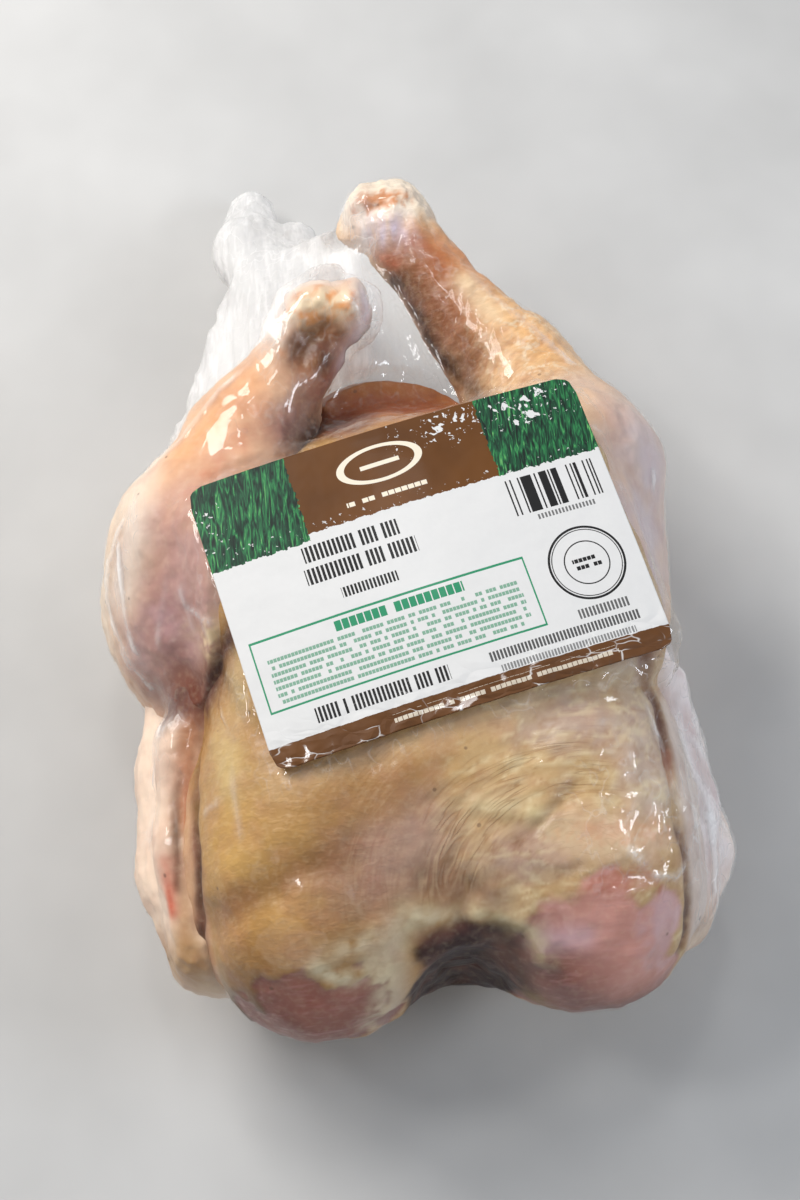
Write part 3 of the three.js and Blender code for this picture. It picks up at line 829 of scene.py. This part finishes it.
# Where it stays loose, it makes the gathered end, and a web between the legs.
loose = cling.spread(steps(heights, 1.5, 6), 4)
x, y, z = cling.points.T
tail = loose * steps(0.55 * x - 0.83 * y, -24, -44) * steps(x, 4, -8)
web = loose * steps(x, -14, -4) * steps(y, 40, 52) * steps(x + 0.6 * y, 78, 62)

pleats = np.clip(1 - 2.6 * np.abs(cling.rough((3.6, 42, 16), 11, 2)), 0, 1)
crumples = np.clip(1 - 2.2 * np.abs(cling.rough((5, 8, 5), 12, 4)), 0, 1)
tip = steps(y, 96, 112)
slack = loose * (1 - tail) * (1 - web)
cling.push(1.0 * tail * (1 - tip) * pleats + 0.6 * tail * tip * crumples)
mouth = cling.patch((6, -103, 50), (22, 20, 38), 0.4)
cling.push((0.1 + 0.7 * slack) * crumples * (1 - under_label) * (1 - 0.9 * mouth))

# Small tucks, where the film has stuck to itself, stand up as fine white lines.
TUCKS = [
    [(-48, -38, 86), (-47, -54, 87), (-46, -69, 87)],
    [(-54, -42, 78), (-46, -45, 88)],
    [(-55, -60, 78), (-49, -58, 86)],
    [(45, -82, 88), (51, -88, 84), (57, -88, 79), (62, -82, 76)],
    [(63, -67, 78), (63, -74, 77), (65, -81, 73)],
    [(56, -44, 86), (58, -60, 80), (60, -72, 80)],
    [(66, -50, 68), (70, -62, 66), (71, -76, 60)],
    [(-75, 12, 68), (-77, 3, 63), (-74, -8, 63), (-67, -21, 59)],
    [(-70, 20, 76), (-76, 8, 64), (-72, -14, 60)],
    [(-54, -8, 82), (-45, -20, 94), (-43, -30, 95)],
    [(-50, -14, 86), (-48, -28, 88), (-50, -34, 80)],
    [(-22, 77, 85), (-30, 62, 86), (-46, 46, 82), (-62, 32, 78)],
    [(-5, 70, 90), (-2, 62, 82), (-6, 50, 76)],
    [(2, 110, 70), (4, 98, 67)],
    [(10, 112, 72), (13, 98, 70)],
    [(68, 20, 74), (72, 0, 70), (70, -24, 70)],
    [(16, 106, 70), (26, 84, 70), (40, 60, 73)],
    [(20, 102, 67), (34, 78, 69), (52, 54, 73)],
    [(64, -34, 84), (70, -52, 62), (77, -72, 48)],
    [(61, -34, 86), (66, -50, 70), (72, -74, 60), (70, -88, 56)],
    [(-60, 0, 82), (-64, -14, 72), (-62, -30, 66), (-68, -46, 58)],
    [(-56, -4, 84), (-54, -14, 80)],
    [(38, -46, 96), (39, -55, 95), (36, -63, 94)],
    [(45, -43, 94), (49, -57, 91)],
    [(52, -40, 92), (55, -52, 88), (52, -62, 89)],
    [(-74, 2, 64), (-72, -22, 58), (-73, -42, 50)],
    [(-72, 14, 74), (-70, -12, 66), (-64, -38, 62)],
]
tucks = np.zeros(cling.count)
for route in TUCKS:
    tucks = np.maximum(tucks, cling.near(route, 0.9))
cling.push(0.6 * tucks)

# It is milky where it is doubled or gathered, crumpled where it has slack, and clear where it lies wet on the
# meat. A milky sheen is also painted on along the left thigh and the outer left wing for their highlights.
rim = steps(past, 8, 2) * steps(past, -1, 1) * on_top
right_edge = cling.near([(60, -40, 80), (64, -60, 78), (64, -74, 77), (66, -90, 62)], 8)
right_wing_side = steps(x, 62, 67) * steps(y, -30, -45) * steps(z, 28, 56)
left_edge = cling.near([(-68, 16, 74), (-74, 0, 64), (-67, -21, 60), (-66, -40, 60)], 8)
left_gap = cling.near([(-54, -8, 82), (-48, -24, 90), (-55, -30, 74)], 7)
neck_fold = cling.near([(-6, -102, 71), (-11, -108, 65), (-17, -113, 53)], 3)
right_flank = steps(x, 58, 66) * steps(y, -30, -20) * steps(y, 70, 50) * steps(z, 40, 58)
milk = 0.55 * tail + 0.14 * web + 0.14 * right_flank + 0.42 * np.clip(sheets, 0, 1) + 0.45 * tucks
milk += 0.15 * neck_fold + 0.08 * right_edge + 0.27 * right_wing_side + 0.12 * left_edge + 0.05 * rim
# Painted highlight: a milky sheen down the outside of the left thigh.
milk += 0.22 * cling.near([(-64, 32, 79), (-68, 14, 78), (-73, 2, 68)], 6)
# Painted glint: a milky streak along the outer left wing.
milk += 0.3 * cling.near([(-70, -44, 54), (-71, -58, 52)], 2.5)
crumpled = 0.06 + 0.1 * tail + 0.35 * tip * tail + 0.4 * slack + 0.5 * rim + 0.8 * right_edge
crumpled += 0.5 * left_edge + 0.2 * left_gap + 0.6 * cling.near([(-71, -38, 54), (-72, -62, 52)], 4)
crumpled += 0.4 * sheets + 0.8 * right_wing_side + 0.35 * steps(y, 20, 50) * (1 - tail) * (1 - web)
crumpled += 0.6 * cling.patch((50, -76, 86), (18, 20, 16), 0.5)
crumpled = np.clip(crumpled, 0, 1) * (1 - 0.7 * web) * (1 - 0.95 * mouth)
cling.push(1.1 * crumpled * (1 - tail) * cling.facets((7, 10, 7), 16) * (1 - under_label))
crease_right = cling.near([(59, -42, 79), (61, -60, 81), (61, -76, 81), (62, -90, 73), (60, -102, 62)], 3)
armpit_line = cling.near([(-55, -26, 69), (-55, -36, 68), *armpit[1:]], 4.5)
wet = cling.patch((4, -102, 52), (17, 18, 36), 0.3) + 1.4 * hollows + crease_right + armpit_line
wet += 0.9 * cling.near([(14, 98, 68), (30, 76, 71), (38, 64, 74)], 9)
wet += 0.7 * cling.near([(-62, -38, 67), (-64, -68, 63)], 5)
wet = np.clip(wet + 0.45 * cling.near([(-62, 33, 78), (-46, 46, 83)], 8), 0, 1)
cling.fields["milk"] = np.clip(milk, 0, 0.8) * (1 - 0.85 * wet)
cling.fields["wet"] = wet

# A few flat places on the right breast face the light and glint.
CATCHES_LIGHT = (0.42, -0.3, 0.86)
flat = np.zeros(cling.count)
for centre, radii in (
    ((48.5, -69, 89.5), (6, 2.4, 7)),
    ((48.5, -83, 87.6), (7, 3.2, 8)),
    ((62, -73, 79.5), (2.8, 4.5, 8)),
    ((45.5, -91.5, 84.6), (5, 2.2, 7)),
):
    flat = np.maximum(flat, cling.flatten(centre, radii, CATCHES_LIGHT, 1.2))
cling.fields["crumpled"] = crumpled * (1 - flat)
# The label lies on top of the film, which gives way under it.
cling.points[:, 2] -= 0.7 * under_label
cling.finish()


def shrink_film():
    """Clear film: a mirror at a glancing look, and a white haze where it is creased or doubled, and where a
    sheen is painted on.
    """
    shader = Shader(bpy.data.materials.new("shrink_film"))
    milk = shader.attribute("milk")
    crumpled = shader.attribute("crumpled")
    folds = abs(shader.noise(5, 1, stretch=(1, 1.6, 1)) - 0.5)
    streak = shader.noise(2.6, 2, stretch=(1, 16, 3))
    ripple = shader.bump(folds * crumpled, 1.6)
    crease = shader.fade(folds, 0.02, 0.0) * crumpled
    haze = 0.01 + milk * (0.75 + 0.4 * shader.fade(streak, 0.4, 0.7)) + crease * 0.2
    clear = shader.node("ShaderNodeBsdfTransparent")
    milky = shader.node(
        "ShaderNodeBsdfPrincipled",
        None,
        {"Base Color": (0.94, 0.925, 0.91, 1), "Roughness": 0.4, "Normal": ripple},
    )
    mirror = shader.node(
        "ShaderNodeBsdfPrincipled",
        None,
        {"Base Color": (1, 1, 1, 1), "Metallic": 1, "Roughness": 0.07, "Normal": ripple},
    )
    turned_away = shader.node("ShaderNodeLayerWeight", None, {"Blend": 0.5}, "Facing")
    glance = (0.03 + 0.32 * turned_away ** 5) * (1 - 0.8 * shader.attribute("wet"))
    body = shader.node("ShaderNodeMixShader", None, {0: haze, 1: clear, 2: milky})
    return shader.surface(shader.node("ShaderNodeMixShader", None, {0: glance, 1: body, 2: mirror}))


wear(film, shrink_film(), "bagged_chicken")


# ---- Label
# A 4 by 3 inch label of coated paper, stuck on askew and bent over the breast, puckered along its foot. Its
# print is a brown and green head with a plain badge, bars and lines, a bar code, a ring and a brown foot.

label_form = bmesh.new()
label_form.from_mesh(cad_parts["label"].data)
bmesh.ops.remove_doubles(label_form, verts=label_form.verts, dist=0.01 * MM)
bmesh.ops.subdivide_edges(label_form, edges=label_form.edges, cuts=3, use_grid_fill=True)
label_mesh = bpy.data.meshes.new("paper_label")
label_form.to_mesh(label_mesh)
label_form.free()
label = bpy.data.objects.new("paper_label", label_mesh)
bpy.context.scene.collection.objects.link(label)
paper = Surface(label, "ffffff")
past, up_label = past_label(paper.points)
paper.points[:, 2] += (paper.spread(paper.points[:, 2], 12) - paper.points[:, 2]) * steps(past, -1, -4)
foot = steps(up_label, -24, -LABEL_SIZE[1] / 2)
puckers = np.sin(paper.points[:, 0] * 0.9 + 3 * paper.rough(14, 21)) * 0.22
puckers += paper.rough((5, 5, 50), 22) * 0.3
paper.points[:, 2] += foot * puckers + 0.12 * paper.rough((16, 16, 60), 23)
paper.fields["foot"] = foot
paper.finish()
label_mesh.shade_smooth()
label_mesh.set_sharp_from_angle(angle=math.radians(50))


def label_print():
    """Print on coated paper, worn where the grain shows, with glints along the puckered foot."""
    shader = Shader(bpy.data.materials.new("label_print"))
    place = shader.node(
        "ShaderNodeMapping",
        {"vector_type": "TEXTURE"},
        {
            "Vector": shader.node("ShaderNodeTexCoord", out="Object"),
            "Location": (LABEL_MIDDLE[0] * MM + LAYOUT[0], LABEL_MIDDLE[1] * MM + LAYOUT[1], 0),
            "Rotation": (0, 0, math.radians(LABEL_TURN)),
            "Scale": (MM, MM, MM),
        },
    )
    split = shader.node("ShaderNodeSeparateXYZ", None, {0: place})
    across = Value(shader, split.socket.node.outputs[0])
    up = Value(shader, split.socket.node.outputs[1])

    def block(left, right, bottom, top, ragged=0):
        """1 inside a rectangle, given in parts of the label's width and height from its top left."""
        x = (left + right) / 2 * LABEL_SIZE[0] - LABEL_SIZE[0] / 2
        y = LABEL_SIZE[1] / 2 - (top + bottom) / 2 * LABEL_SIZE[1]
        half_x = (right - left) / 2 * LABEL_SIZE[0]
        half_y = (bottom - top) / 2 * LABEL_SIZE[1]
        return (abs(across - x + ragged) < half_x) * (abs(up - y + ragged) < half_y)

    def chance(*numbers):
        """A random number from 0 to 1 for each whole number, or each pair of them."""
        if len(numbers) == 1:
            return shader.node("ShaderNodeTexWhiteNoise", {"noise_dimensions": "1D"}, {"W": numbers[0]})
        pair = shader.node("ShaderNodeCombineXYZ", None, {0: numbers[0], 1: numbers[1]})
        return shader.node("ShaderNodeTexWhiteNoise", {"noise_dimensions": "2D"}, {"Vector": pair})

    def lines(width, height, dense=0.75, fill=0.55):
        """Lines of small print: bars of the width in rows of the height."""
        gaps = chance((across / width).whole(), (up / height).whole()) < dense
        return ((up / height).part() < fill) * gaps * ((across / width).part() < 0.86)

    def ring(part_x, part_y, radius, width, stretch=1.0):
        """1 on the line of a ring, or of an oval that is longer by the stretch."""
        x = (across - (part_x - 0.5) * LABEL_SIZE[0]) / stretch
        y = up - (0.5 - part_y) * LABEL_SIZE[1]
        offset = shader.node("ShaderNodeCombineXYZ", None, {0: x, 1: y})
        length = shader.node("ShaderNodeVectorMath", {"operation": "LENGTH"}, {0: offset}, "Value")
        return abs(length - radius) < width

    grain = shader.noise(1.2, 4)
    wander = (grain - 0.5) * 4
    flecks = shader.fade(shader.noise(1.1, 3, 0.5), 0.66, 0.68)
    flakes = shader.fade(shader.noise(2.4, 4, 0.9), 0.57, 0.58)
    blades = shader.noise(1.0, 4, 1.6, (1, 7, 1))
    greens = [(0.36, tone("13211b")), (0.5, tone("1d4a32")), (0.62, tone("2f7d48")), (0.76, tone("78b86a"))]
    grass = shader.node("ShaderNodeValToRGB", {"stops": greens}, {0: blades})
    brown = shader.mix(shader.noise(18, 2), rgb("45260a"), rgb("744718"))
    paper_colour = shader.mix(grain * 0.25, rgb("d9d8d6"), rgb("c9c7c6"))
    colour = shader.mix(block(0.24, 0.75, 0.285, -0.1, wander * 0.35), paper_colour, brown)
    for left, right, bottom in ((-0.1, 0.25, 0.31), (0.74, 1.1, 0.285)):
        colour = shader.mix(block(left, right, bottom, -0.1, wander * 0.6), colour, grass)
    worn = block(0.5, 1.1, 0.13, -0.1, wander * 3) + block(-0.1, 0.06, 0.33, 0.08, wander * 2)
    colour = shader.mix(worn * flecks, colour, paper_colour)
    flaked = block(0.6, 0.74, 0.1, 0.02, wander * 2) + block(0.78, 0.92, 0.12, 0.02, wander * 2)
    colour = shader.mix(flaked * flakes, colour, paper_colour)
    colour = shader.mix(block(-0.1, 1.1, 0.34, 0.25) * flecks * 0.8, colour, paper_colour)
    colour = shader.mix(block(-0.1, 1.1, 1.1, 0.925, wander * 0.1), colour, brown)
    cream = rgb("e6dcc8")
    colour = shader.mix(ring(0.47, 0.12, 4.6, 0.45, 2.2), colour, cream)
    colour = shader.mix(lines(1.7, 2.2) * block(0.36, 0.58, 0.245, 0.215), colour, cream)
    colour = shader.mix(block(0.42, 0.52, 0.13, 0.115), colour, cream)
    colour = shader.mix(lines(1.3, 2.0, 0.8) * block(0.3, 0.86, 0.975, 0.945) * 0.7, colour, cream)

    black = rgb("1c1b1b")
    green = rgb("2e8a63")
    box = block(0.03, 0.72, 0.82, 0.575) - block(0.034, 0.716, 0.813, 0.583)
    colour = shader.mix(box, colour, green)
    colour = shader.mix(lines(1.9, 3.3, 0.86, 0.8) * block(0.22, 0.56, 0.635, 0.592), colour, green)
    colour = shader.mix(lines(0.9, 1.75, 0.8) * block(0.06, 0.69, 0.8, 0.645) * 0.75, colour, green)
    for left, right, top in ((0.22, 0.46, 0.325), (0.21, 0.49, 0.4)):
        letters = ((across / 1.15).part() < 0.62) * (chance((across / 1.15).whole()) < 0.85)
        colour = shader.mix(letters * block(left, right, top + 0.055, top), colour, black)
    colour = shader.mix(((across / 0.95).part() < 0.6) * block(0.28, 0.42, 0.53, 0.495), colour, black)
    weight = ((across / 1.05).part() < 0.6) * (chance((across / 1.05).whole()) < 0.86)
    colour = shader.mix(weight * block(0.13, 0.46, 0.895, 0.845), colour, black)
    colour = shader.mix(((across / 0.9).part() < 0.62) * block(0.56, 0.94, 0.882, 0.85) * 0.9, colour, black)
    colour = shader.mix(((across / 0.8).part() < 0.6) * block(0.58, 0.92, 0.922, 0.9) * 0.7, colour, black)
    colour = shader.mix(((across / 0.95).part() < 0.6) * block(0.8, 0.93, 0.832, 0.8) * 0.85, colour, black)
    bar = chance((across / 0.4).whole())
    colour = shader.mix((bar > 0.48) * block(0.735, 0.98, 0.44, 0.31), colour, black)
    colour = shader.mix(((across / 0.9).part() < 0.55) * block(0.79, 0.94, 0.47, 0.452) * 0.8, colour, black)
    for radius, width in ((9.4, 0.3), (8.7, 0.12), (5.6, 0.16)):
        colour = shader.mix(ring(0.865, 0.655, radius, width), colour, black)
    colour = shader.mix(lines(1.1, 1.9, 0.85) * block(0.83, 0.9, 0.685, 0.63), colour, black)
    creases = shader.cells(5, "DISTANCE_TO_EDGE", (1.6, 0.8, 1), wander=1.2)
    foot = shader.attribute("foot")
    glints = shader.fade(creases, 0.04, 0.0) * foot * shader.fade(shader.noise(9, 2), 0.5, 0.6)
    colour = shader.mix(glints * 0.7, colour, rgb("f4f2ef"))
    relief = shader.noise(9, 2) * 0.5 + creases * foot * 1.2
    coated = shader.node(
        "ShaderNodeBsdfPrincipled",
        None,
        {
            "Base Color": colour,
            "Roughness": 0.55,
            "Specular IOR Level": 0.25,
            "Coat Weight": 0.04 + foot * 0.9,
            "Coat Roughness": 0.08,
            "Normal": shader.bump(relief, 0.8),
        },
    )
    return shader.surface(coated)


wear(label, label_print(), "label")


# ---- Table, light and camera
# A plain pale table in a pale room. A large soft light stands behind the pack on the left, weaker bluish ones
# on the right, and small ones over it give the film its glints. The camera looks down on the breast.

table_form = bmesh.new()
bmesh.ops.create_grid(table_form, x_segments=1, y_segments=1, size=2.5)
table_mesh = bpy.data.meshes.new("table")
table_form.to_mesh(table_mesh)
table_form.free()
table = bpy.data.objects.new("table", table_mesh)
bpy.context.scene.collection.objects.link(table)
shader = Shader(bpy.data.materials.new("table_top"))
table_colour = shader.mix(shader.noise(60, 3), rgb("afaeac"), rgb("d0cfcd"))
matt = shader.node("ShaderNodeBsdfPrincipled", None, {"Base Color": table_colour, "Roughness": 0.6})
table_mesh.materials.append(shader.surface(matt))


def soft_light(name, position, size, watts, colour):
    """A flat soft light that faces the pack, its place and size in metres."""
    lamp = bpy.data.lights.new(name, "AREA")
    lamp.shape = "RECTANGLE"
    lamp.size, lamp.size_y = size
    lamp.energy = watts
    lamp.color = colour
    holder = bpy.data.objects.new(name, lamp)
    holder.location = position
    holder.rotation_euler = (-Vector(position)).to_track_quat("-Z", "Y").to_euler()
    bpy.context.scene.collection.objects.link(holder)


soft_light("window", (-0.5, 0.55, 0.72), (0.48, 0.4), 9.0, (1.0, 0.97, 0.93))
soft_light("sky", (0.9, -0.2, 0.9), (0.7, 0.7), 0.8, (0.76, 0.85, 1.0))
soft_light("left_glint", (-0.55, 0.15, 0.95), (0.16, 0.16), 1.6, (1.0, 1.0, 1.0))
soft_light("right_glint", (0.92, -0.22, 0.7), (0.4, 0.22), 4.8, (0.88, 0.93, 1.0))
soft_light("fill", (-0.5, -0.8, 0.6), (0.9, 0.6), 1.6, (1.0, 0.97, 0.92))
soft_light("top_glint", (0.02, 0.42, 1.15), (0.14, 0.2), 1.2, (1.0, 1.0, 1.0))

# The room is light above and behind the pack, and darker in front of it.
room = Shader(bpy.data.worlds.new("room"))
direction = room.node("ShaderNodeTexCoord", out="Generated")
rearward = room.node("ShaderNodeSeparateXYZ", None, {0: direction}, "Y")
sockets = {"Value": rearward, "From Min": -0.9, "From Max": 0.6, "To Min": 0.09, "To Max": 0.34}
brightness = room.node("ShaderNodeMapRange", None, sockets)
glow = room.node("ShaderNodeBackground", None, {"Color": (0.8, 0.88, 1.0, 1), "Strength": brightness})
bpy.context.scene.world = room.surface(glow, "ShaderNodeOutputWorld")
bpy.context.scene.view_settings.view_transform = "Standard"

# The camera looks from the neck end.
AZIMUTH = math.radians(-6)
ELEVATION = math.radians(70)
TARGET = Vector(LAYOUT) + Vector((0, 0, 50 * MM))
LENS = 60
SENSOR = 36
VIEW_HEIGHT = 321.6 * MM  # at the target
camera_data = bpy.data.cameras.new("camera")
camera_data.lens = LENS
camera_data.sensor_width = SENSOR
camera = bpy.data.objects.new("camera", camera_data)
level = math.cos(ELEVATION)
back = Vector((math.sin(AZIMUTH) * level, -math.cos(AZIMUTH) * level, math.sin(ELEVATION)))
camera.location = TARGET + back * (VIEW_HEIGHT * LENS / SENSOR)
camera.rotation_euler = (-back).to_track_quat("-Z", "Y").to_euler()
bpy.context.scene.collection.objects.link(camera)
bpy.context.scene.camera = camera
